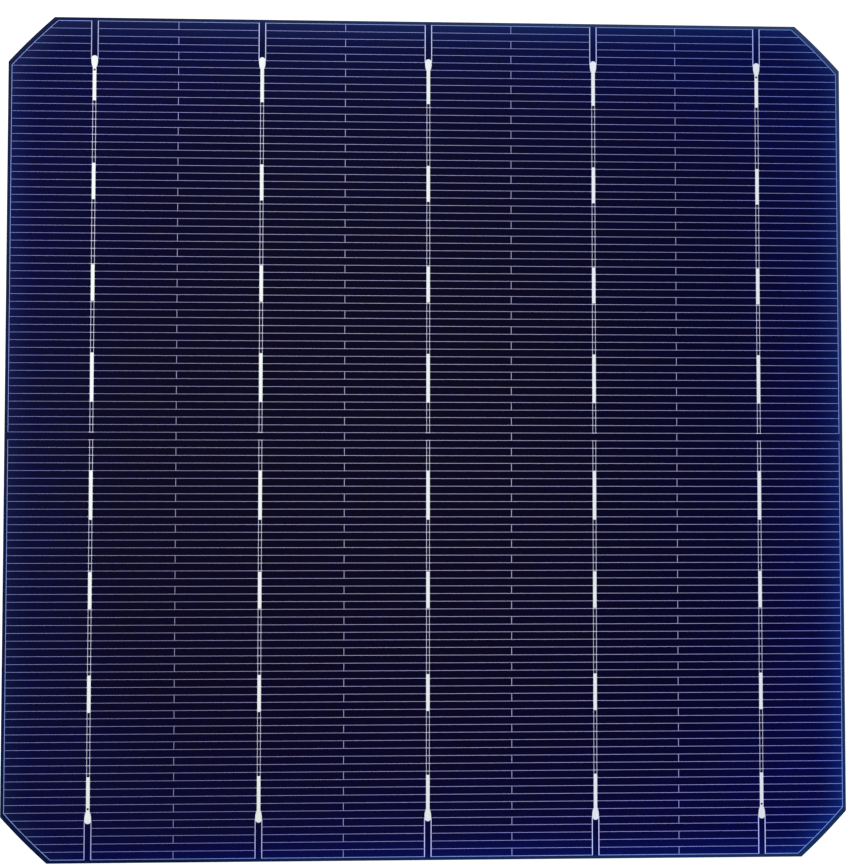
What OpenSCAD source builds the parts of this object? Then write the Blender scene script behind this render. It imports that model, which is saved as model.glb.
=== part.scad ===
// Solar cell. A pseudo-square silicon wafer carries a printed silver grid on its
// sunny side, laid out so that the cell can be split into two half cells along a
// cut line. An aluminium layer with silver solder pads covers the rear side.
// Sizes are in millimetres. The sunny side faces +Z, the busbars run along Y, the
// cut line along X, and the origin is at the middle of the rear face.

/* [Wafer] */
// Width across the flats
cell_side = 156.75; // [150:0.25:170]
// Diameter of the round crystal, which leaves the corners rounded off
crystal_d = 210; // [200:0.5:220]
// Thickness of the silicon
wafer_t = 0.18; // [0.12:0.01:0.3]

/* [Front fingers] */
// Number of fingers on each half cell, with the frame line as the last
half_fingers = 55; // [30:1:70]
// Width of a finger
finger_w = 0.06; // [0.03:0.005:0.1]
// Height of the finger print
finger_h = 0.014; // [0.008:0.001:0.03]
// Distance from the wafer's flats in to the middle of the frame line
edge_margin = 0.67; // [0.5:0.01:1.5]
// Distance from the wafer's corners in to the middle of the frame line
corner_margin = 0.95; // [0.6:0.01:2]
// Width of the frame line
frame_w = 0.08; // [0.04:0.01:0.2]
// Width of the short links that join the fingers two by two
link_w = 0.08; // [0.04:0.01:0.2]
// Length of the forks that join the frame line to the busbars
fork_l = 6.5; // [3:0.1:12]
// Distance between the middles of a fork's two lines
fork_gap = 1.22; // [1:0.01:2]
// Width of a fork's lines
fork_w = 0.15; // [0.04:0.01:0.2]

/* [Front busbars] */
// Number of busbars
busbars = 5; // [2:1:9]
// Distance from the wafer's edge in to the middle of the outer busbars
busbar_edge = 15.95; // [12:0.05:30]
// Height of the busbar print over the fingers that it crosses
busbar_cover = 0.01; // [0.004:0.001:0.03]
// Distance between the middles of a busbar's two rails
rail_gap = 0.55; // [0.3:0.01:0.7]
// Width of a rail
rail_w = 0.08; // [0.04:0.01:0.2]
// How far a pad reaches past the rails on each side
pad_lip = 0.01; // [0.005:0.005:0.1]
// How far a rung reaches past the finger under it, on each side
rung_lip = 0.02; // [0.005:0.005:0.05]
// How far a rung reaches past the pads' edges, at each end
rung_reach = 0.22; // [0.05:0.01:0.3]
// Distance from the cut line to the first pad
first_pad_y = 6.35; // [2:0.05:9]
// Length of the first pad, next to the cut line
first_pad_l = 9.15; // [4:0.05:14]
// Length of the bare rails from the first pad to the second
first_rail_l = 9.65; // [4:0.05:14]
// Length of the second and third pads
middle_pad_l = 6.8; // [3:0.05:9]
// Length of the bare rails from the second pad to the third
second_rail_l = 12.2; // [4:0.05:18]
// Length of the end pad, with its bulb
end_pad_l = 8.5; // [4:0.05:12]
// Radius of the two corners at the bulb's tip
bulb_corner_r = 0.4; // [0.1:0.01:0.5]
// Length over which the bulb's flanks curve in to the pad
bulb_flank_l = 2; // [0.8:0.05:2.2]
// Diameter of the sight hole in the end pads of the outer busbars
sight_hole_d = 0.4; // [0.1:0.01:0.5]
// Distance from the bulb's tip to the middle of the sight hole
sight_hole_in = 2.7; // [2.5:0.05:3.1]

/* [Rear contact] */
// Distance from the wafer's edge in to the aluminium
rear_margin = 0.9; // [0.3:0.05:3]
// Thickness of the rear solder pads
rear_pad_t = 0.012; // [0.006:0.001:0.03]
// Width of the rear solder pads
rear_pad_w = 1.6; // [1:0.1:4]
// How far the aluminium stands out past the rear solder pads
aluminium_rise = 0.013; // [0.005:0.001:0.03]

/* [Hidden] */
$fn = 96;

// What a cut reaches past the face that it starts from
overcut = 0.01;

// Levels of the aluminium's upper face and the wafer's upper face
wafer_z = rear_pad_t + aluminium_rise;
front_z = wafer_z + wafer_t;

// Frame line, taken along its middle: half its width, and its radius at the corners
grid_half = cell_side / 2 - edge_margin;
grid_r = crystal_d / 2 - corner_margin;

// Distance from a middle line of the cell to the frame line, at u along that line
function frame_reach(u) = min(grid_half, sqrt(grid_r * grid_r - u * u));

// Fingers, numbered outwards from the cut line, so that the last is the frame line
finger_pitch = grid_half / (half_fingers - 0.5);
function finger_y(i) = (i + 0.5) * finger_pitch;

// Busbars, numbered from 1 on the left
busbar_pitch = (cell_side - 2 * busbar_edge) / (busbars - 1);
function busbar_x(b) = (b - (busbars + 1) / 2) * busbar_pitch;

// Pads of a half busbar, each with its start and its length outwards from the cut line
pad_w = rail_gap + rail_w + 2 * pad_lip;
tip_y = grid_half - fork_l;
second_pad_y = first_pad_y + first_pad_l + first_rail_l;
third_pad_y = second_pad_y + middle_pad_l + second_rail_l;
end_pad_y = tip_y - end_pad_l;
pads = [
    [first_pad_y, first_pad_l],
    [second_pad_y, middle_pad_l],
    [third_pad_y, middle_pad_l],
    [end_pad_y, end_pad_l]
];

// Rungs, one over each finger that a busbar crosses
rung_w = finger_w + 2 * rung_lip;
rung_l = pad_w + 2 * rung_reach;

// Bulb at the end of a half busbar, as wide as the fork that it closes. Its flanks are
// arcs that start square to the tip and fall in by flank_fall to the pad's edge.
bulb_half = fork_gap / 2;
bulb_y = tip_y - bulb_corner_r;
flank_fall = bulb_half - pad_w / 2;
flank_r = (bulb_flank_l * bulb_flank_l + flank_fall * flank_fall) / (2 * flank_fall);

// Outermost finger that still runs under the bulb, where the fork's lines end
fork_finger = floor(tip_y / finger_pitch - 0.5);

// The two halves of the cell, above and below the cut line. What is drawn for the
// upper half is turned about the cell's middle to make the lower.
halves = ["upper", "lower"];
function turn(half) = half == "upper" ? 0 : 180;

function busbar_name(b, half) = str("front_busbar_", b, "_", half);
function rear_pads_name(b, half) = str("rear_pads_", b, "_", half);

// A square whose corners are rounded off by a circle about its middle
module pseudo_square(half_side, r) {
    intersection() {
        square(2 * half_side, center = true);
        circle(r);
    }
}

// The wafer's outline, with a margin taken off all round
module wafer_outline(margin) {
    pseudo_square(cell_side / 2 - margin, crystal_d / 2 - margin);
}

// The frame line, open where the cut line crosses it
module frame_line() {
    difference() {
        pseudo_square(grid_half + frame_w / 2, grid_r + frame_w / 2);
        pseudo_square(grid_half - frame_w / 2, grid_r - frame_w / 2);
        square([cell_side, finger_pitch - finger_w], center = true);
    }
}

// The fingers of one half, from the cut line to the last before the frame line
module fingers() {
    for (i = [0:half_fingers - 2])
        translate([0, finger_y(i)])
            square([2 * frame_reach(finger_y(i)), finger_w], center = true);
}

// The space inside the fork of busbar b, where no finger runs
module fork_space(b) {
    translate([busbar_x(b) - fork_gap / 2, finger_y(fork_finger + 0.5)])
        square([fork_gap, fork_l + finger_pitch]);
}

// The two lines of the fork of busbar b
module fork_lines(b) {
    for (side = [-1, 1]) {
        x = busbar_x(b) + side * fork_gap / 2;
        y = finger_y(fork_finger);
        translate([x - fork_w / 2, y])
            square([fork_w, frame_reach(abs(x)) + frame_w / 2 - y]);
    }
}

// The short links midway between busbars b and b + 1, in one half
module links(b) {
    x = (busbar_x(b) + busbar_x(b + 1)) / 2;
    translate([x - link_w / 2, 0])
        square([link_w, finger_y(0)]);
    for (i = [1:2:half_fingers - 2])
        translate([x, finger_y(i + 0.5)])
            square([link_w, finger_pitch], center = true);
}

// Everything that is printed with the fingers
module finger_print() {
    difference() {
        union() {
            frame_line();
            for (half = halves)
                rotate(turn(half))
                    fingers();
        }
        for (half = halves, b = [1:busbars])
            rotate(turn(half))
                fork_space(b);
    }
    for (half = halves)
        rotate(turn(half)) {
            for (b = [1:busbars])
                fork_lines(b);
            for (b = [1:busbars - 1])
                links(b);
        }
}

// The bulb about the middle of its widest line: a tip with two round corners, and
// flanks that narrow towards the pad
module bulb() {
    corner_x = bulb_half - bulb_corner_r;
    for (side = [-1, 1])
        translate([side * corner_x, 0])
            circle(bulb_corner_r);
    translate([-corner_x, 0])
        square([2 * corner_x, bulb_corner_r]);
    intersection() {
        translate([-bulb_half, -bulb_flank_l])
            square([2 * bulb_half, bulb_flank_l]);
        translate([flank_r - bulb_half, 0])
            circle(flank_r);
        translate([bulb_half - flank_r, 0])
            circle(flank_r);
    }
}

// The outline of a half busbar about its own middle line: rails, rungs, pads and bulb
module busbar_print() {
    rail_y = finger_y(0) - rung_w / 2;
    for (side = [-1, 1])
        translate([side * rail_gap / 2 - rail_w / 2, rail_y])
            square([rail_w, bulb_y - rail_y]);
    for (i = [0:fork_finger])
        translate([0, finger_y(i)])
            square([rung_l, rung_w], center = true);
    for (pad = pads)
        translate([-pad_w / 2, pad[0]])
            square([pad_w, min(pad[1], bulb_y - pad[0])]);
    translate([0, bulb_y])
        bulb();
}

// The finger print where busbar b crosses it, about the busbar's own middle line
module crossed_lines(b) {
    for (i = [0:fork_finger])
        translate([0, finger_y(i)])
            square([2 * fork_gap, finger_w], center = true);
    translate([-busbar_x(b), 0])
        fork_lines(b);
}

// The pads on the rear side under a half busbar, about its own middle line
module rear_pad_print() {
    for (pad = pads)
        translate([-rear_pad_w / 2, pad[0]])
            square([rear_pad_w, pad[1]]);
}

module silicon_wafer() {
    color("midnightblue")
        translate([0, 0, wafer_z])
            linear_extrude(wafer_t)
                wafer_outline(0);
}

module front_finger_grid() {
    color("lightsteelblue")
        translate([0, 0, front_z])
            linear_extrude(finger_h)
                finger_print();
}

// A half busbar lies over the fingers, so its underside has a channel for each
module front_busbar(b, half) {
    outer = b == 1 || b == busbars;
    color("gainsboro")
        translate([busbar_x(b), 0, front_z])
            rotate(turn(half))
                difference() {
                    linear_extrude(finger_h + busbar_cover)
                        difference() {
                            busbar_print();
                            if (outer)
                                translate([0, tip_y - sight_hole_in])
                                    circle(d = sight_hole_d);
                        }
                    translate([0, 0, -overcut])
                        linear_extrude(overcut + finger_h)
                            crossed_lines(b);
                }
}

module rear_aluminium() {
    color("darkgray")
        linear_extrude(wafer_z)
            difference() {
                wafer_outline(rear_margin);
                for (b = [1:busbars], half = halves)
                    translate([busbar_x(b), 0])
                        rotate(turn(half))
                            rear_pad_print();
            }
}

module rear_pads(b, half) {
    color("silver")
        translate([busbar_x(b), 0, aluminium_rise])
            rotate(turn(half))
                linear_extrude(rear_pad_t)
                    rear_pad_print();
}

silicon_wafer();
front_finger_grid();
rear_aluminium();
for (b = [1:busbars], half = halves) {
    front_busbar(b, half);
    rear_pads(b, half);
}
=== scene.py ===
"""The looks of a solar cell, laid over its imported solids.

A coated silicon wafer carries a domed silver print on its sunny side. Lengths are in metres, the sunny
side faces +Z, the busbars run along Y and the cut line along X.
"""

import math

import bpy
import numpy as np
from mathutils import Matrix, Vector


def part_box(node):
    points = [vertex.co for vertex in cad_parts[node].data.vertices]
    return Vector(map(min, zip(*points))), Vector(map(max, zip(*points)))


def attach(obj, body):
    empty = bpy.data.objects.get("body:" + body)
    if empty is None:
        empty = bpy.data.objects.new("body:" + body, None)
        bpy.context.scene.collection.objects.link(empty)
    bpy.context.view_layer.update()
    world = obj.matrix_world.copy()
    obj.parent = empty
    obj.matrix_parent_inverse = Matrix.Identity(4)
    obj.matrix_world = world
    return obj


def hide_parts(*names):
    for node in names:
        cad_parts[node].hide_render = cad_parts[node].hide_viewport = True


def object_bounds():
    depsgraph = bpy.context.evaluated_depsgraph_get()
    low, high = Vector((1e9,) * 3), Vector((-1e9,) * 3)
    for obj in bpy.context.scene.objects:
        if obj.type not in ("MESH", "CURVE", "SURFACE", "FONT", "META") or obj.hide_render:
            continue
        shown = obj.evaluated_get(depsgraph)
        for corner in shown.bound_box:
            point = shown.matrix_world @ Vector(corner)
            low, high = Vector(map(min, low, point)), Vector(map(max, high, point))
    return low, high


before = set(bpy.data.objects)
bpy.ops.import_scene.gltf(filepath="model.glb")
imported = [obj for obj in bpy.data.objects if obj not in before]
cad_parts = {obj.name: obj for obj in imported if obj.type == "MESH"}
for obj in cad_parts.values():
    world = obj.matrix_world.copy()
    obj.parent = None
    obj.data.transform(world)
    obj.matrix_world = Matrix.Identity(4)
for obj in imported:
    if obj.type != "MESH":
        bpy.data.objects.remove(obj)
cad_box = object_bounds()

MM = 0.001


def corners(node):
    """Lowest and highest corner of a solid, as arrays."""
    low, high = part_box(node)
    return np.array(low), np.array(high)


# Wafer
wafer_low, wafer_high = corners("silicon_wafer")
half_side = wafer_high[0]
crystal_r = 105 * MM
edge_round = 0.05 * MM
sunny_z = wafer_high[2]

# Finger print
grid_high = corners("front_finger_grid")[1]
half_fingers = 55
finger_w = 0.06 * MM
finger_h = grid_high[2] - sunny_z
frame_w = 0.08 * MM
link_w = 0.08 * MM
fork_w = 0.15 * MM
fork_gap = 1.22 * MM
grid_half = grid_high[0] - frame_w / 2
grid_r = 104.05 * MM
finger_pitch = grid_half / (half_fingers - 0.5)
row_y = (np.arange(half_fingers - 1) + 0.5) * finger_pitch

# Busbars, numbered from 1 on the left
busbars = (1, 2, 3, 4, 5)
middle_busbar = 3
halves = {"upper": 1, "lower": -1}
busbar_low, busbar_high = corners("front_busbar_5_upper")
tip_y = busbar_high[1]
busbar_h = busbar_high[2] - sunny_z
busbar_pitch = (busbar_low[0] + busbar_high[0]) / 2 / (busbars[-1] - middle_busbar)
busbar_x = (np.array(busbars) - middle_busbar) * busbar_pitch
rail_gap = 0.55 * MM
rail_w = 0.08 * MM
rung_w = 0.1 * MM
rung_l = 1.09 * MM
pad_w = 0.65 * MM
pad_corner = 0.09 * MM
pads = [(6.35 * MM, 9.15 * MM), (25.15 * MM, 6.8 * MM), (44.15 * MM, 6.8 * MM)]
end_pad_l = 8.5 * MM
bulb_half = fork_gap / 2
bulb_corner = 0.58 * MM
bulb_y = tip_y - bulb_corner
flank_l = 1.62 * MM
flank_fall = bulb_half - pad_w / 2
sight_hole_r = 0.2 * MM
sight_hole_y = tip_y - 2.7 * MM
fork_row = int(tip_y / finger_pitch - 0.5)

# How unevenly the paste prints
finger_swell = 7.3 * MM
finger_swell_shift = 2.4
finger_neck = 2.9 * MM
finger_neck_shift = 1.0
finger_thinning = 0.06
ridge_l = 0.1 * MM
rail_thinning = 0.12
rung_rise = 0.97
pad_sink = 0.18
pad_end_height = 1 / 3

# How full the backs of the lines are, from 1 for a round back down to 0 for a square one
finger_fullness = 0.4
rail_fullness = 0.8
rung_fullness = 0.5
pad_fullness = 0.3

# How finely the surfaces are drawn
hard_edge = math.radians(50)
finger_station = 1.25 * MM
ridge_stations = ridge_l * np.array([-7, -1.4, -0.7, 0, 0.7, 1.4])
rung_stations = np.array([-1.0, -0.95, -0.85, -0.6, 0.0, 0.6, 0.85, 0.95, 1.0])
line_points = 5
pad_points = 11
pad_corner_points = 5
frame_side_points = 56
frame_corner_points = 12
frame_top_points = 5
flank_points = 20
tip_points = 10
sight_hole_points = 17
wafer_edge_points = 9
wafer_side_points = 40
wafer_corner_points = 12
wafer_face_rings = 9

# How each part of a print is tinted against the plain fingers
plain_tint = (1.0, 1.0, 1.0, 1.0)
link_tint = (1.05, 1.05, 1.07, 1.0)
frame_tint = (0.88, 1.06, 0.97, 1.0)
side_frame_tint = {1: (0.88, 1.12, 1.12, 1.0), -1: (1.18, 1.4, 1.33, 1.0)}
fork_tint = (1.42, 1.46, 1.04, 1.0)
rail_tint = (0.95, 0.9, 1.17, 1.0)

# Coating from the middle outwards: shares of the way and screen colours
coating_reach = 1.1
coating_stops = [
    (0.0, (11.3, 8.9, 32)),
    (0.36, (10.8, 8.5, 31.5)),
    (0.46, (10.4, 8.2, 31.5)),
    (0.67, (10.6, 8.3, 34.5)),
    (0.755, (10.8, 9.4, 40)),
    (0.83, (11, 11.2, 47)),
    (0.965, (9.5, 12.5, 56)),
]
cloud_depth = 0.1

# Parts of the coating, each from where its tint begins to where it is full
right_part = (0.0, 70 * MM)
top_part = (10 * MM, 65 * MM)
top_middle = (75 * MM, 15 * MM)
top_strip = (58 * MM, 76 * MM)
left_part = (-25 * MM, -55 * MM)
upper_part = (5 * MM, 35 * MM)
foot_part = (-10 * MM, -60 * MM)
foot_middle = (60 * MM, 15 * MM)

# Tints of those parts
right_tint = (0.7, 0.8, 1.58, 1.0)
top_side_tint = (1.03, 1.1, 0.9, 1.0)
top_middle_tint = (1.07, 1.2, 1.5, 1.0)
top_strip_tint = (1.05, 1.3, 1.0, 1.0)
upper_left_tint = (0.86, 0.77, 1.24, 1.0)
foot_side_tint = (0.93, 0.8, 1.0, 1.0)
foot_middle_tint = (0.93, 0.8, 1.2, 1.0)
warm_mottle = (1.1, 1.0, 0.88, 1.0)
cool_mottle = (0.9, 1.0, 1.12, 1.0)

# Rim outside the frame line: screen colours on both sides, and tints from foot to top
rim_start = (0.0, 0.12 * MM)
left_rim = (18, 30, 68)
right_rim = (38, 61, 107)
foot_rim_tint = (0.35, 0.69, 0.9, 1.0)
top_rim_tint = (1.32, 1.12, 1.02, 1.0)

# Glow of the coating next to the rim: its reach, its parts and their tints of the rim's colour
glow_reach = 5.6 * MM
left_foot_glow = (1.5, 0.8, 0.9, 1.0)
left_top_glow = (0.95, 0.8, 1.15, 1.0)
right_foot_glow = (0.45, 0.48, 1.02, 1.0)
right_top_glow = (0.15, 0.22, 0.66, 1.0)
foot_glow_part = (-60 * MM, -76 * MM)
between_corners = (76 * MM, 60 * MM)
foot_glow_left_tint = (0.55, 0.38, 1.3, 1.0)
foot_glow_right_tint = (0.55, 0.4, 0.82, 1.0)
right_glow_part = (50 * MM, 75 * MM)
lower_glow_part = (0.0, -45 * MM)
lower_right_glow_tint = (1.0, 1.0, 1.25, 1.0)
left_glow_part = (-50 * MM, -75 * MM)
upper_glow_part = (0.0, 40 * MM)
below_corner = (72 * MM, 60 * MM)
upper_left_glow_tint = (0.75, 0.85, 1.15, 1.0)
corner_glow_part = (97 * MM, 104 * MM)
corner_glow_tint = (1.25, 1.35, 1.2, 1.0)

# Sawn edge of the wafer: where it ends under the coating, and its screen colours
sawn_end = (sunny_z - 0.06 * MM, sunny_z - 0.01 * MM)
dark_sawn = (48, 50, 56)
pale_sawn = (66, 68, 74)

# Painted highlight on the fingers: its whitest place, and how the silver fades from it
highlight_x = 12.5 * MM
highlight_y = -8 * MM
highlight_lean = math.radians(63)
highlight_fade_along = 0.51
highlight_fade_across = 1.14
highlight_reach = 100 * MM
highlight_silver = (0.615, 0.565, 0.84, 1.0)
left_silver = (0.3, 0.27, 0.44, 1.0)
right_silver = (0.34, 0.34, 0.71, 1.0)
blue_spread = (0.63, 1.05)
blue_tint = (0.87, 1.01, 1.4, 1.0)
# Tints by quarter of the cell that shape the painted highlight's fade
downwards = (20 * MM, -75 * MM)
upper_left_silver_tint = (0.87, 0.88, 0.92, 1.0)
lower_left_silver_tint = (1.21, 1.14, 1.16, 1.0)
upper_right_silver_tint = (1.05, 1.05, 1.03, 1.0)
lower_right_silver_tint = (0.98, 0.95, 1.19, 1.0)
dark_finger_grain = (0.9, 0.9, 0.93, 1.0)
pale_finger_grain = (1.02, 1.02, 1.0, 1.0)

# Busbar silver
warm_silver = (0.8, 0.84, 0.8, 1.0)
cool_silver = (0.83, 0.87, 0.9, 1.0)
silver_pit = (0.68, 0.71, 0.71, 1.0)
right_silver_part = (-30 * MM, 40 * MM)
right_silver_tint = (1.02, 1.02, 1.11, 1.0)

# Rear side, as screen colours
dark_aluminium = (148, 150, 153)
pale_aluminium = (168, 169, 171)
aluminium_grit = (128, 130, 134)
dark_rear_silver = (196, 197, 196)
pale_rear_silver = (222, 223, 221)

# Name of the map that the export looks for
export_map = "OFBake"

# Sockets of a Mix node that mixes colours
mix_share = 0
mix_first = 6
mix_second = 7
mix_result = 2

# Light and floor
world_colour = (1.0, 1.0, 1.0, 1.0)
world_level = 0.65
lamp_level = 0.37
lamp_place = np.array([-0.15, 0.07, 0.3])
lamp_size = 0.3
floor_gap = 0.02 * MM
floor_half = 3.0
floor_grey = (0.5, 0.5, 0.5, 1.0)
floor_glow = 0.72
rear_light_reach = 0.3 * MM

# Camera, turned by degrees about x, y and z
picture_w = 853
camera_place = (-9.44 * MM, -7.791 * MM, 250.0 * MM)
camera_turn = (1.9369, -2.0962, 0.0476)
focal_px = 1338.35
sensor_w = 36.0
nearest_seen = 1 * MM


def new_piece(name, points, faces, tints, finish, slot, replaced):
    """A mesh piece from its points, faces and tints, smooth but for its hard edges.

    It rides on the cell and stands for a solid.
    """
    mesh = bpy.data.meshes.new(name)
    mesh.from_pydata(points.tolist(), [], [face for group in faces for face in group.tolist()])
    mesh.polygons.foreach_set("use_smooth", np.ones(len(mesh.polygons), bool))
    mesh.set_sharp_from_angle(angle=hard_edge)
    mesh.attributes.new("tint", "FLOAT_COLOR", "POINT").data.foreach_set("color", tints.ravel())
    mesh.materials.append(finish)
    piece = bpy.data.objects.new(name, mesh)
    bpy.context.scene.collection.objects.link(piece)
    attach(piece, "root")
    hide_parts(replaced)
    return piece


def lay_flat(piece):
    """Gives a print the map that the export bakes its colours through: the print as seen from above.

    A point's place on the map is its share of the way across the print's box, along x and along y.
    """
    mesh = piece.data
    points = np.empty(len(mesh.vertices) * 3)
    mesh.vertices.foreach_get("co", points)
    seen = points.reshape(-1, 3)[:, :2]
    share = (seen - seen.min(axis=0)) / np.ptp(seen, axis=0)
    corner = np.empty(len(mesh.loops), int)
    mesh.loops.foreach_get("vertex_index", corner)
    flat_map = mesh.uv_layers.new(name=export_map)
    flat_map.uv.foreach_set("vector", share[corner].ravel())


def together(parts):
    """One set of points, faces and tints from several.

    Each part's faces are counted on from the part before.
    """
    counts = np.cumsum([0] + [len(points) for points, faces, tint in parts])
    points = np.concatenate([points for points, faces, tint in parts])
    faces = [group + first for first, part in zip(counts, parts) for group in part[1]]
    tints = np.concatenate([np.tile(tint, (len(points), 1)) for points, faces, tint in parts])
    return points, faces, tints


def dome(count, fullness):
    """Half a superellipse, from the left foot over the crown to the right foot, as shares across and up.

    At each turn from 0 to half a circle the shares are the turn's cosine and sine, each raised to the
    fullness with its sign kept: 1 gives a round back, and less a flatter one.
    """
    turn = np.linspace(0, np.pi, count)
    across = np.sign(np.cos(turn)) * np.abs(np.cos(turn)) ** fullness
    up = np.abs(np.sin(turn)) ** fullness
    return np.stack([across, up], axis=1)


def lefts(middle):
    """The way to the left of each station of a line: its direction turned by a right angle.

    At a bend it is the sum of the lefts before and after, over one plus their product, so that both
    sides of a bar stay parallel to its line.
    """
    ahead = np.diff(middle[..., :2], axis=1)
    ahead = ahead / np.linalg.norm(ahead, axis=2, keepdims=True)
    left = np.stack([-ahead[..., 1], ahead[..., 0]], axis=2)
    before = np.concatenate([left[:, :1], left], axis=1)
    after = np.concatenate([left, left[:, -1:]], axis=1)
    return (before + after) / (1 + np.sum(before * after, axis=2, keepdims=True))


def bars(middle, half_width, height, section, left, tint):
    """Closed bars of paste: a section carried along the middle line of each bar.

    middle holds bars by stations by 3. At each station a point of the section lies to the left of the
    line by the half width times its share across, and over it by the height times its share up.
    """
    points = np.repeat(middle[:, :, None, :], len(section), axis=2)
    across = half_width[..., None] * section[:, 0]
    points[..., :2] += left[:, :, None, :] * across[..., None]
    points[..., 2] += height[..., None] * section[:, 1]
    index = np.arange(points.size // 3).reshape(points.shape[:3])
    here, there = index[:, :-1], index[:, 1:]
    quads = np.stack([here, np.roll(here, -1, 2), np.roll(there, -1, 2), there], axis=3)
    caps = np.concatenate([index[:, 0, ::-1], index[:, -1]])
    return points.reshape(-1, 3), [quads.reshape(-1, 4), caps], tint


def printed_lines(middle, width, tint):
    """Thin domed lines along their middles.

    Two waves of unlike length along a line, multiplied, thin it here and there. Each line's waves are
    shifted from those of the line before.
    """
    step = np.linalg.norm(np.diff(middle, axis=1), axis=2)
    along = np.concatenate([np.zeros((len(middle), 1)), np.cumsum(step, axis=1)], axis=1)
    line = np.arange(len(middle))[:, None]
    swell = np.sin(2 * np.pi * along / finger_swell + finger_swell_shift * line)
    neck = np.sin(2 * np.pi * along / finger_neck + finger_neck_shift * line)
    fill = 1 - finger_thinning * (0.5 + 0.5 * swell * neck)
    section = dome(line_points, finger_fullness)
    return bars(middle, width / 2 * fill, finger_h * fill, section, lefts(middle), tint)


def straight(start, end):
    """Middle lines on the sunny side, straight from each start to each end, with even stations."""
    start, end = np.array(start), np.array(end)
    longest = np.linalg.norm(end - start, axis=1).max()
    share = np.linspace(0, 1, int(np.ceil(longest / finger_station)) + 1)
    flat = start[:, None] + share[:, None] * (end - start)[:, None]
    return np.concatenate([flat, np.full(flat.shape[:2] + (1,), sunny_z)], axis=2)


def level(x, y):
    """Points at each x, all at the same y."""
    return np.stack([x, np.full(len(x), y)], axis=1)


def frame_reach(y):
    """Distance from the cell's middle line to the frame line at y: the square's side or the circle."""
    return np.minimum(grid_half, np.sqrt(grid_r**2 - np.square(y)))


def frame_corner():
    """Middle line of a quarter of the frame line: up the side, round the circle, in to the fork."""
    kink_y = math.sqrt(grid_r**2 - grid_half**2)
    start_y = row_y[0] - finger_w / 2
    fork_x = busbar_x[-1] + fork_gap / 2
    side = np.linspace(start_y, kink_y, frame_side_points)
    turn = np.linspace(math.asin(kink_y / grid_r), math.acos(kink_y / grid_r), frame_corner_points)
    top = np.linspace(kink_y, fork_x, frame_top_points)
    x = np.concatenate([np.full(len(side), grid_half), grid_r * np.cos(turn[1:]), top[1:]])
    y = np.concatenate([side, grid_r * np.sin(turn[1:]), np.full(len(top) - 1, grid_half)])
    return np.stack([x, y, np.full(len(x), sunny_z)], axis=1)


def finger_print():
    """Everything printed with the fingers: full rows, rows cut by the forks, frame, forks and links."""
    parts = []
    full = row_y[: fork_row + 1]
    cut = row_y[fork_row + 1 :]
    fork_edges = np.sort(np.concatenate([busbar_x - fork_gap / 2, busbar_x + fork_gap / 2]))
    link_x = (busbar_x[1:] + busbar_x[:-1]) / 2
    for turn in halves.values():
        reach = frame_reach(full)
        row_start = np.stack([-reach, full], 1)
        row_end = np.stack([reach, full], 1)
        parts.append((straight(turn * row_start, turn * row_end), finger_w, plain_tint))
        stretch_start = np.array([(x, y) for y in cut for x in (-frame_reach(y), *fork_edges[1::2])])
        stretch_end = np.array([(x, y) for y in cut for x in (*fork_edges[::2], frame_reach(y))])
        parts.append((straight(turn * stretch_start, turn * stretch_end), finger_w, plain_tint))
        top_start = level(fork_edges[1:-1:2], grid_half)
        top_end = level(fork_edges[2:-1:2], grid_half)
        parts.append((straight(turn * top_start, turn * top_end), frame_w, frame_tint))
        fork_foot = level(fork_edges, row_y[fork_row])
        fork_head = level(fork_edges, grid_half + frame_w / 2)
        parts.append((straight(turn * fork_foot, turn * fork_head), fork_w, fork_tint))
        pair_foot = np.array([(x, y) for x in link_x for y in row_y[1::2]])
        pair_head = pair_foot + (0, finger_pitch)
        parts.append((straight(turn * pair_foot, turn * pair_head), link_w, link_tint))
        for side, side_tint in side_frame_tint.items():
            quarter = frame_corner() * (side, turn, 1)
            parts.append((quarter[None], frame_w, side_tint))
    across_cut = level(link_x, row_y[0])
    parts.append((straight(across_cut * (1, -1), across_cut), link_w, link_tint))
    return together([printed_lines(*part) for part in parts])


def over_finger(y):
    """How much a busbar rises over the fingers: a bell curve of the distance to the nearest one."""
    row = y / finger_pitch - 0.5
    return np.exp(-np.square((row - np.round(row)) * finger_pitch / ridge_l))


def stations(start, end, corner):
    """Stations along a busbar: close together over each finger and in the corners at both ends."""
    rows = row_y[:, None] + ridge_stations
    rows = rows[(rows > start + corner) & (rows < end - corner)]
    curl = corner * (1 - np.cos(np.linspace(0, np.pi / 2, pad_corner_points)))
    return np.unique(np.concatenate([start + curl, rows, end - curl]))


def across_busbar(x, y, half_width, height, section, tint):
    """One bar whose section stays square to the busbar, with its middle at x and y of each station."""
    middle = np.stack([np.broadcast_to(x, y.shape), y, np.full(len(y), sunny_z)], axis=1)[None]
    left = np.broadcast_to([-1.0, 0.0], (1, len(y), 2))
    return bars(middle, half_width[None], height[None], section, left, tint)


def rails(start, end):
    """The two thin rails of a bare stretch: domed lines that swell over each finger."""
    y = stations(start, end, pad_corner)
    fill = 1 - rail_thinning * (1 - over_finger(y))
    section = dome(line_points, rail_fullness)
    return [
        across_busbar(side * rail_gap / 2, y, rail_w / 2 * fill, busbar_h * fill, section, rail_tint)
        for side in (-1, 1)
    ]


def rungs():
    """Short bars across the rails, one over each finger.

    Both ends are as slim as the finger. Between them the bar gains the rest of its width and height by
    one minus the fourth power of the distance from its middle, as a share of half its length.
    """
    rows = row_y[: fork_row + 1]
    across = np.broadcast_to(rung_l / 2 * rung_stations, (len(rows), len(rung_stations)))
    along = np.broadcast_to(rows[:, None], across.shape)
    middle = np.stack([across, along, np.full(across.shape, sunny_z)], axis=2)
    fill = np.broadcast_to(1 - rung_stations**4, across.shape)
    half_width = (finger_w + (rung_w - finger_w) * fill) / 2
    height = finger_h + (rung_rise * busbar_h - finger_h) * fill
    return bars(middle, half_width, height, dome(line_points, rung_fullness), lefts(middle), rail_tint)


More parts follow.
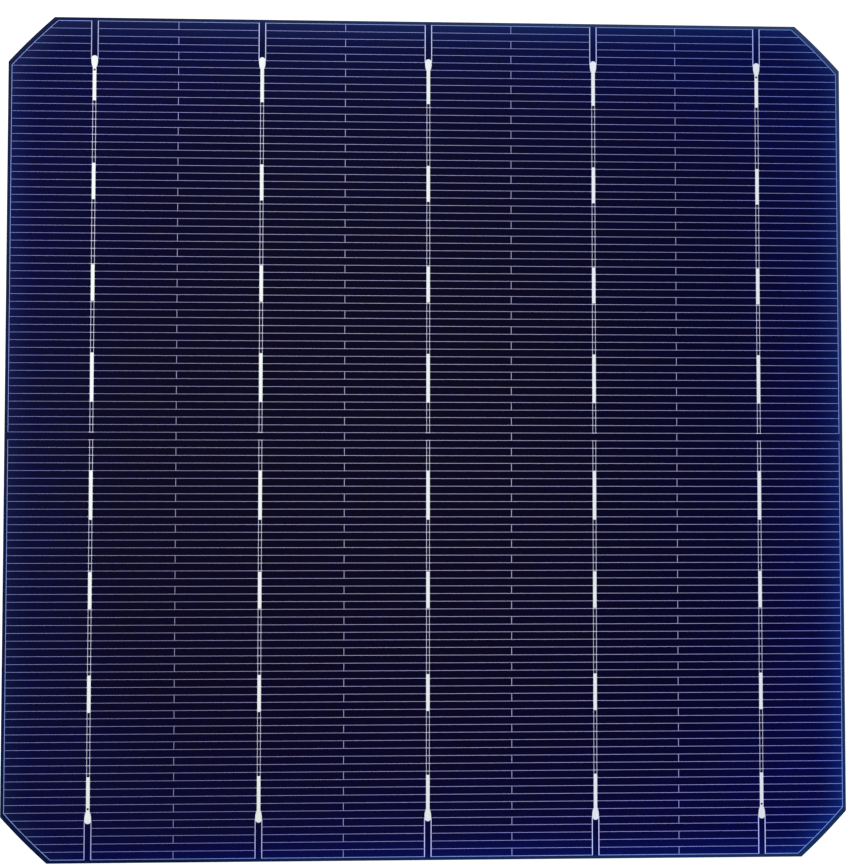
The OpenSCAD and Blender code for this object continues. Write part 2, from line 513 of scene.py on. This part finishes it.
def pad_half_width(y, start, end):
    """Half the pad's width: its corners are quarter circles, and at a tip it opens into the bulb.

    Up to the bulb's widest line the width gains one minus the cube of the distance from that line, as a
    share of the flank's length. Past that line the tip's corners are quarter circles too.
    """
    inset = np.clip(np.minimum(y - start, end - y), 0, pad_corner)
    plain = pad_w / 2 - pad_corner + np.sqrt(pad_corner**2 - (pad_corner - inset) ** 2)
    before = np.clip((bulb_y - y) / flank_l, 0, 1)
    flank = flank_fall * (1 - before**3)
    beyond = np.clip(y - bulb_y, 0, bulb_corner)
    tip = bulb_half - bulb_corner + np.sqrt(bulb_corner**2 - beyond**2)
    return np.where(y > bulb_y, tip, plain + flank)


def pad_height(y, start, end):
    """Height of a pad's crown: lower between the fingers, and a quarter circle down to both ends."""
    inset = np.clip(np.minimum(y - start, end - y) / pad_corner, 0, 1)
    crown = busbar_h * (1 - pad_sink * (1 - over_finger(y)))
    return crown * (pad_end_height + (1 - pad_end_height) * np.sqrt(inset * (2 - inset)))


def pad(start, end, y):
    """A flat-backed pad with rounded corners over the given stations of its length."""
    half_width = pad_half_width(y, start, end)
    section = dome(pad_points, pad_fullness)
    return across_busbar(0.0, y, half_width, pad_height(y, start, end), section, plain_tint)


def end_pad(with_hole):
    """The pad at a busbar's tip, opening into the bulb, with or without a round sight hole.

    Beside the hole the pad is two cheeks: each reaches from the hole's circle out to the pad's edge.
    """
    start, end = tip_y - end_pad_l, tip_y
    neck_y = bulb_y - flank_l
    y = stations(start, neck_y, pad_corner)
    flank_y = np.linspace(neck_y, bulb_y, flank_points, endpoint=False)
    corner_y = bulb_y + bulb_corner * np.sin(np.linspace(0, np.pi / 2, tip_points))
    y = np.concatenate([y[y < neck_y - pad_corner], flank_y, corner_y])
    if not with_hole:
        return [pad(start, end, y)]
    below, above = sight_hole_y - sight_hole_r, sight_hole_y + sight_hole_r
    lower = np.append(y[y < below], below)
    upper = np.append(above, y[y > above])
    cheek_y = sight_hole_y - sight_hole_r * np.cos(np.linspace(0, np.pi, sight_hole_points))
    hole = np.sqrt(np.maximum(sight_hole_r**2 - np.square(cheek_y - sight_hole_y), 0))
    edge = pad_half_width(cheek_y, start, end)
    crown = pad_height(cheek_y, start, end)
    section = dome(pad_points, pad_fullness)
    cheeks = [
        across_busbar(side * (edge + hole) / 2, cheek_y, (edge - hole) / 2, crown, section, plain_tint)
        for side in (-1, 1)
    ]
    return [pad(start, end, lower), *cheeks, pad(start, end, upper)]


def busbar_print(number, turn):
    """One half busbar: rungs, rails, pads and bulb, drawn about x = 0 and turned into its half."""
    parts = [rungs()]
    rail_start = row_y[0] - rung_w / 2
    for start, length in pads:
        parts += rails(rail_start, start + pad_corner)
        parts.append(pad(start, start + length, stations(start, start + length, pad_corner)))
        rail_start = start + length - pad_corner
    parts += rails(rail_start, tip_y - end_pad_l + pad_corner)
    parts += end_pad(number in (busbars[0], busbars[-1]))
    points, faces, tints = together(parts)
    points = points * (turn, turn, 1) + (busbar_x[number - 1], 0, 0)
    return points, faces, tints


def wafer_body():
    """The wafer: rings of its outline out over the rear, up round the sawn edge and in over the front.

    A ring is a square cut by a circle, both drawn in by the ring's inset. On the edge the inset and the
    height follow half an ellipse, and over both faces the rings shrink in even shares to the middle.
    """
    lean = np.linspace(-np.pi / 2, np.pi / 2, wafer_edge_points)
    inset = (edge_round * (1 - np.cos(lean)))[:, None]
    flat, radius = half_side - inset, crystal_r - inset
    kink = np.arccos(flat / radius)
    side = flat + 1j * flat * np.tan(kink) * np.linspace(-1, 1, wafer_side_points, endpoint=False)
    round_share = np.linspace(0, 1, wafer_corner_points, endpoint=False)
    arc = radius * np.exp(1j * (kink + (np.pi / 2 - 2 * kink) * round_share))
    quarter = np.concatenate([side, arc], axis=1)
    edge = np.concatenate([quarter, 1j * quarter, -quarter, -1j * quarter], axis=1)
    edge_z = (wafer_low[2] + sunny_z) / 2 + (sunny_z - wafer_low[2]) / 2 * np.sin(lean)
    share = np.linspace(0, 1, wafer_face_rings)[1:-1]
    rings = np.concatenate([share[:, None] * edge[:1], edge, share[::-1, None] * edge[-1:]])
    ring_z = np.concatenate([np.full(len(share), edge_z[0]), edge_z, np.full(len(share), edge_z[-1])])
    grid = np.stack([rings.real, rings.imag, np.broadcast_to(ring_z[:, None], rings.shape)], axis=2)
    poles = [(0, 0, edge_z[0]), (0, 0, edge_z[-1])]
    index = np.arange(rings.size).reshape(rings.shape)
    following = np.roll(index, -1, 1)
    quads = np.stack([index[:-1], following[:-1], following[1:], index[1:]], axis=2).reshape(-1, 4)
    rear = np.stack([np.full(len(index[0]), rings.size), following[0], index[0]], axis=1)
    front = np.stack([np.full(len(index[0]), rings.size + 1), index[-1], following[-1]], axis=1)
    points = np.concatenate([grid.reshape(-1, 3), poles])
    return points, [quads, rear, front], np.tile(plain_tint, (len(points), 1))


class Wire:
    """A socket of a node tree as a value to reckon with.

    Operators add Math nodes, and node() adds any other node.
    """

    def __init__(self, socket):
        self.socket = socket
        self.tree = socket.id_data

    def node(self, kind, settings=(), inputs=(), output=0):
        """A new node: its settings first, a ramp's stops among them, then its inputs.

        An input is a wire, which is linked, or a plain value.
        """
        made = self.tree.nodes.new("ShaderNode" + kind)
        for name, value in dict(settings).items():
            if name == "stops":
                elements = made.color_ramp.elements
                while len(elements) < len(value):
                    elements.new(1.0)
                for element, (position, shade) in zip(elements, value):
                    element.position = position
                    element.color = shade
            else:
                setattr(made, name, value)
        for name, value in dict(inputs).items():
            if isinstance(value, Wire):
                self.tree.links.new(value.socket, made.inputs[name])
            else:
                made.inputs[name].default_value = value
        return Wire(made.outputs[output])

    def beside(self, name):
        """Another output of the same node."""
        return Wire(self.socket.node.outputs[name])

    def feed(self, node, name):
        """Links this value to an input of a node that is there already."""
        self.tree.links.new(self.socket, node.inputs[name])

    def maths(self, operation, *values):
        """A Math node on the given values."""
        return self.node("Math", {"operation": operation}, enumerate(values))

    def __add__(self, other):
        return self.maths("ADD", self, other)

    def __radd__(self, other):
        return self.maths("ADD", other, self)

    def __sub__(self, other):
        return self.maths("SUBTRACT", self, other)

    def __rsub__(self, other):
        return self.maths("SUBTRACT", other, self)

    def __mul__(self, other):
        return self.maths("MULTIPLY", self, other)

    def __rmul__(self, other):
        return self.maths("MULTIPLY", other, self)

    def __truediv__(self, other):
        return self.maths("DIVIDE", self, other)

    def __rtruediv__(self, other):
        return self.maths("DIVIDE", other, self)

    def __pow__(self, other):
        return self.maths("POWER", self, other)

    def __rpow__(self, other):
        return self.maths("POWER", other, self)

    def __abs__(self):
        return self.maths("ABSOLUTE", self)

    def larger(self, other):
        """The larger of this value and another."""
        return self.maths("MAXIMUM", self, other)

    def less_than(self, other):
        """1 where this value is less than another, and 0 elsewhere."""
        return self.maths("LESS_THAN", self, other)

    def between(self, low, high):
        """A smooth step: 0 up to low, 1 from high on. Where low is the larger, it steps the other way."""
        settings = {"interpolation_type": "SMOOTHSTEP"}
        return self.node("MapRange", settings, {"Value": self, "From Min": low, "From Max": high})

    def span(self, low, high):
        """The value that goes evenly from low to high as this one goes from 0 to 1."""
        return low + self * (high - low)

    def blend(self, first, second):
        """The colour that goes from first to second as this value goes from 0 to 1."""
        inputs = {mix_share: self, mix_first: first, mix_second: second}
        return self.node("Mix", {"data_type": "RGBA"}, inputs, mix_result)

    def tint(self, factor):
        """This colour times another."""
        settings = {"data_type": "RGBA", "blend_type": "MULTIPLY"}
        inputs = {mix_share: 1.0, mix_first: self, mix_second: factor}
        return self.node("Mix", settings, inputs, mix_result)

    def tint_part(self, part, factor):
        """This colour, times another where the part's share is 1 and as it is where that is 0."""
        return self.tint(part.blend(plain_tint, factor))

    def noise(self, size, detail):
        """Cloudy noise about one half, with lumps of a given size in metres, at this place."""
        return self.node("TexNoise", (), {"Vector": self, "Scale": 1 / size, "Detail": detail})

    def bump(self, depth):
        """A Bump node's normal for this height from 0 to 1, which is worth a depth in metres."""
        return self.node("Bump", (), {"Height": self, "Strength": 1.0, "Distance": depth})


def colour(screen):
    """A colour given as screen values from 0 to 255, as linear light."""
    screen = np.array(screen) / 255
    linear = np.where(screen <= 0.04045, screen / 12.92, ((screen + 0.055) / 1.055) ** 2.4)
    return (*linear.tolist(), 1.0)


def new_finish(name, **constant):
    """A node material with its constant sockets set, its shader, and its Object coordinates as a wire."""
    finish = bpy.data.materials.new(name)
    finish.use_nodes = True
    shader = finish.node_tree.nodes["Principled BSDF"]
    for socket, value in constant.items():
        shader.inputs[socket.replace("_", " ")].default_value = value
    place = Wire(finish.node_tree.nodes.new("ShaderNodeTexCoord").outputs["Object"])
    return finish, shader, place


def part_tint(place):
    """The tint that the mesh carries for each part of a print."""
    return place.node("Attribute", {"attribute_name": "tint"})


def way_over(x):
    """A smooth share of the way over the cell: from its left edge to its right, or from foot to top."""
    return x.between(-half_side, half_side)


def spread_of(x, y):
    """Distance from the cell's middle as a share of half its side, whose lines are rounded squares.

    It is the fourth root of the sum of the fourth powers of the shares along x and y.
    """
    return (abs(x / half_side) ** 4 + abs(y / half_side) ** 4) ** 0.25


def coating_colour(place, x, y):
    """Colour of the coating by its clouded spread from the middle, tinted by parts of the cell."""
    clouds = place.noise(size=9 * MM, detail=3)
    mottle = place.noise(size=2.6 * MM, detail=2)
    spread = spread_of(x, y) + (clouds - 0.5) * cloud_depth
    stops = [(share, colour(screen)) for share, screen in coating_stops]
    shade = spread.node("ValToRGB", {"stops": stops}, {0: spread / coating_reach})
    shade = shade.tint_part(x.between(*right_part), right_tint)
    top_tint = abs(x).between(*top_middle).blend(top_side_tint, top_middle_tint)
    shade = shade.tint_part(y.between(*top_part), top_tint)
    shade = shade.tint_part(y.between(*top_strip), top_strip_tint)
    shade = shade.tint_part(x.between(*left_part) * y.between(*upper_part), upper_left_tint)
    foot_tint = abs(x).between(*foot_middle).blend(foot_side_tint, foot_middle_tint)
    shade = shade.tint_part(y.between(*foot_part), foot_tint)
    return shade.tint(mottle.between(low=0.3, high=0.7).blend(warm_mottle, cool_mottle))


def glow_colour(rim, x, y, radius):
    """Colour of the glow next to the rim: the rim's colour, tinted by sides, foot and corners."""
    left_glow = way_over(y).blend(left_foot_glow, left_top_glow)
    right_glow = way_over(y).blend(right_foot_glow, right_top_glow)
    glow = rim.tint(way_over(x).blend(left_glow, right_glow))
    foot = y.between(*foot_glow_part) * abs(x).between(*between_corners)
    glow = glow.tint_part(foot, way_over(x).blend(foot_glow_left_tint, foot_glow_right_tint))
    lower_right = x.between(*right_glow_part) * y.between(*lower_glow_part)
    glow = glow.tint_part(lower_right, lower_right_glow_tint)
    upper_left = x.between(*left_glow_part) * y.between(*upper_glow_part) * y.between(*below_corner)
    glow = glow.tint_part(upper_left, upper_left_glow_tint)
    return glow.tint_part(radius.between(*corner_glow_part), corner_glow_tint)


def coated_silicon():
    """Blue coating on silicon: near black in the middle, bluer outwards, teal outside the frame line.

    Close to the frame line the coating turns to the rim's glow, by the square of the share of the way
    there. The wafer's edge is bare sawn silicon.
    """
    finish, shader, place = new_finish("coated_silicon", Specular_IOR_Level=0.005)
    x = place.node("SeparateXYZ", (), {0: place})
    y = x.beside("Y")
    z = x.beside("Z")
    grain = place.noise(size=0.35 * MM, detail=2)
    radius = (x**2 + y**2) ** 0.5
    outside = (abs(x) - grid_half).larger(abs(y) - grid_half).larger(radius - grid_r)
    rim = way_over(x).blend(colour(left_rim), colour(right_rim))
    rim = rim.tint(way_over(y).blend(foot_rim_tint, top_rim_tint))
    near_rim = ((outside + glow_reach) / glow_reach).larger(0.0) ** 2
    coating = near_rim.blend(coating_colour(place, x, y), glow_colour(rim, x, y, radius))
    front = outside.between(*rim_start).blend(coating, rim)
    sawn = grain.blend(colour(dark_sawn), colour(pale_sawn))
    z.between(*sawn_end).blend(sawn, front).feed(shader, "Base Color")
    grain.span(low=0.34, high=0.5).feed(shader, "Roughness")
    grain.bump(depth=0.002 * MM).feed(shader, "Normal")
    return finish


def finger_silver():
    """Thin silver lines with a painted highlight: drawn whitest near the cell's middle, and greyer and
    bluer towards the edges as the painted light fades.

    The distance from the painted highlight's whitest place is taken on an ellipse that leans from the
    upper left to the lower right.
    """
    finish, shader, place = new_finish("finger_silver", Metallic=0.35, Specular_IOR_Level=0.2)
    x = place.node("SeparateXYZ", (), {0: place})
    y = x.beside("Y")
    grain = place.noise(size=0.12 * MM, detail=2)
    # Painted highlight: distance from its whitest place, on a leaning ellipse
    from_x, from_y = x - highlight_x, y - highlight_y
    along = from_x * math.cos(highlight_lean) - from_y * math.sin(highlight_lean)
    across = from_x * math.sin(highlight_lean) + from_y * math.cos(highlight_lean)
    away = ((along * highlight_fade_along) ** 2 + (across * highlight_fade_across) ** 2) ** 0.5
    faded = way_over(x).blend(left_silver, right_silver)
    shade = away.between(highlight_reach, 0.0).blend(faded, highlight_silver)
    shade = shade.tint_part(spread_of(x, y).between(*blue_spread), blue_tint)
    down = y.between(*downwards)
    left = down.blend(upper_left_silver_tint, lower_left_silver_tint)
    right = down.blend(upper_right_silver_tint, lower_right_silver_tint)
    shade = shade.tint(way_over(x).blend(left, right))
    shade = shade.tint(grain.between(low=0.25, high=0.7).blend(dark_finger_grain, pale_finger_grain))
    shade.tint(part_tint(place)).feed(shader, "Base Color")
    grain.span(low=0.42, high=0.62).feed(shader, "Roughness")
    grain.bump(depth=0.004 * MM).feed(shader, "Normal")
    return finish


def busbar_silver():
    """Fired silver paste: nearly white and bluer on the right, with grain and cool and warm patches."""
    finish, shader, place = new_finish("busbar_silver", Metallic=0.3, Specular_IOR_Level=0.2)
    grain = place.noise(size=0.09 * MM, detail=3)
    patches = place.noise(size=2.2 * MM, detail=2)
    x = place.node("SeparateXYZ", (), {0: place})
    shade = patches.between(low=0.35, high=0.65).blend(warm_silver, cool_silver)
    shade = grain.between(low=0.25, high=0.7).blend(silver_pit, shade)
    shade = shade.tint_part(x.between(*right_silver_part), right_silver_tint)
    shade.tint(part_tint(place)).feed(shader, "Base Color")
    grain.span(low=0.45, high=0.7).feed(shader, "Roughness")
    grain.bump(depth=0.006 * MM).feed(shader, "Normal")
    return finish


def aluminium_paste():
    """Fired aluminium paste: matt grey with fine grit and faint clouds."""
    finish, shader, place = new_finish("aluminium_paste", Metallic=0.25, Specular_IOR_Level=0.3)
    clouds = place.noise(size=14 * MM, detail=3)
    grit = place.noise(size=0.25 * MM, detail=4)
    shade = clouds.between(low=0.3, high=0.7).blend(colour(dark_aluminium), colour(pale_aluminium))
    grit.between(low=0.3, high=0.75).blend(colour(aluminium_grit), shade).feed(shader, "Base Color")
    grit.span(low=0.6, high=0.9).feed(shader, "Roughness")
    grit.bump(depth=0.012 * MM).feed(shader, "Normal")
    return finish


def rear_silver():
    """Silver pads on the rear: paler and smoother than the aluminium round them."""
    finish, shader, place = new_finish("rear_silver", Metallic=0.4, Specular_IOR_Level=0.3)
    grain = place.noise(size=0.12 * MM, detail=3)
    shade = grain.between(low=0.3, high=0.7).blend(colour(dark_rear_silver), colour(pale_rear_silver))
    shade.feed(shader, "Base Color")
    grain.span(low=0.4, high=0.6).feed(shader, "Roughness")
    grain.bump(depth=0.006 * MM).feed(shader, "Normal")
    return finish


def seen_directly(tree):
    """1 for rays that show the background to the camera, by mirror or through glass too, and else 0."""
    path = Wire(tree.nodes.new("ShaderNodeLightPath").outputs["Is Camera Ray"])
    return path.larger(path.beside("Is Glossy Ray")).larger(path.beside("Is Transmission Ray"))


def floor_paint():
    """White paint that glows only for the camera and takes shadows.

    It can't be seen from below, nor by the rear side that lies on it, which gets its light through it.
    """
    finish = bpy.data.materials.new("floor_paint")
    finish.use_nodes = True
    tree = finish.node_tree
    tree.nodes.remove(tree.nodes["Principled BSDF"])
    seen = seen_directly(tree)
    matt = seen.node("BsdfDiffuse", (), {"Color": floor_grey})
    glow = seen.node("Emission", (), {"Strength": seen * floor_glow})
    paint = seen.node("AddShader", (), {0: matt, 1: glow})
    below = Wire(tree.nodes.new("ShaderNodeNewGeometry").outputs["Backfacing"])
    reach = Wire(tree.nodes.new("ShaderNodeLightPath").outputs["Ray Length"])
    clear = seen.node("BsdfTransparent")
    hidden = below.larger(reach.less_than(rear_light_reach))
    shown = seen.node("MixShader", (), {0: hidden, 1: paint, 2: clear})
    shown.feed(tree.nodes["Material Output"], "Surface")
    return finish


def add_world():
    """Plain soft light from all round, which the camera sees as white."""
    world = bpy.data.worlds.new("studio")
    world.use_nodes = True
    bpy.context.scene.world = world
    background = world.node_tree.nodes["Background"]
    background.inputs["Color"].default_value = world_colour
    seen_directly(world.node_tree).span(world_level, 1.0).feed(background, "Strength")


def add_lamp():
    """A soft round lamp from the upper left that faces the cell's middle.

    A white level surface there sends out the lamp's power times the lamp's height, over pi squared
    times the cube of the distance. The power is set so that this is the lamp's level.
    """
    lamp = bpy.data.lights.new("soft_lamp", "AREA")
    lamp.shape = "DISK"
    lamp.size = lamp_size
    distance = np.linalg.norm(lamp_place)
    lamp.energy = lamp_level * math.pi**2 * distance**3 / lamp_place[2]
    lamp_object = bpy.data.objects.new("soft_lamp", lamp)
    lamp_object.location = lamp_place
    lamp_object.rotation_euler = (-lamp_object.location).to_track_quat("-Z", "Y").to_euler()
    bpy.context.scene.collection.objects.link(lamp_object)


def add_floor():
    """A wide flat floor, a hair below the cell."""
    mesh = bpy.data.meshes.new("floor")
    spread = floor_half * np.array([(-1, -1), (1, -1), (1, 1), (-1, 1)])
    points = np.concatenate([spread, np.full((len(spread), 1), cad_box[0][2] - floor_gap)], axis=1)
    mesh.from_pydata(points.tolist(), [], [(0, 1, 2, 3)])
    floor = bpy.data.objects.new("floor", mesh)
    bpy.context.scene.collection.objects.link(floor)
    mesh.materials.append(floor_paint())


def add_camera():
    """The camera over the cell, a little to its lower left, turned as the picture shows it."""
    data = bpy.data.cameras.new("camera")
    data.sensor_fit = "HORIZONTAL"
    data.sensor_width = sensor_w
    data.lens = focal_px * sensor_w / picture_w
    data.clip_start = nearest_seen
    camera = bpy.data.objects.new("camera", data)
    camera.location = camera_place
    camera.rotation_euler = [math.radians(angle) for angle in camera_turn]
    bpy.context.scene.collection.objects.link(camera)
    bpy.context.scene.camera = camera


bpy.context.scene.view_settings.view_transform = "Standard"
add_camera()
add_world()
add_lamp()
add_floor()

new_piece("wafer", *wafer_body(), coated_silicon(), "coated_silicon", "silicon_wafer")
lay_flat(new_piece("fingers", *finger_print(), finger_silver(), "finger_silver", "front_finger_grid"))
busbar_finish = busbar_silver()
rear_pad_finish = rear_silver()
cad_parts["rear_aluminium"].material_slots[0].material = aluminium_paste()
for number in busbars:
    for half, turn in halves.items():
        solid = f"front_busbar_{number}_{half}"
        drawn = busbar_print(number, turn)
        lay_flat(new_piece(f"busbar_{number}_{half}", *drawn, busbar_finish, "busbar_silver", solid))
        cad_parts[f"rear_pads_{number}_{half}"].material_slots[0].material = rear_pad_finish
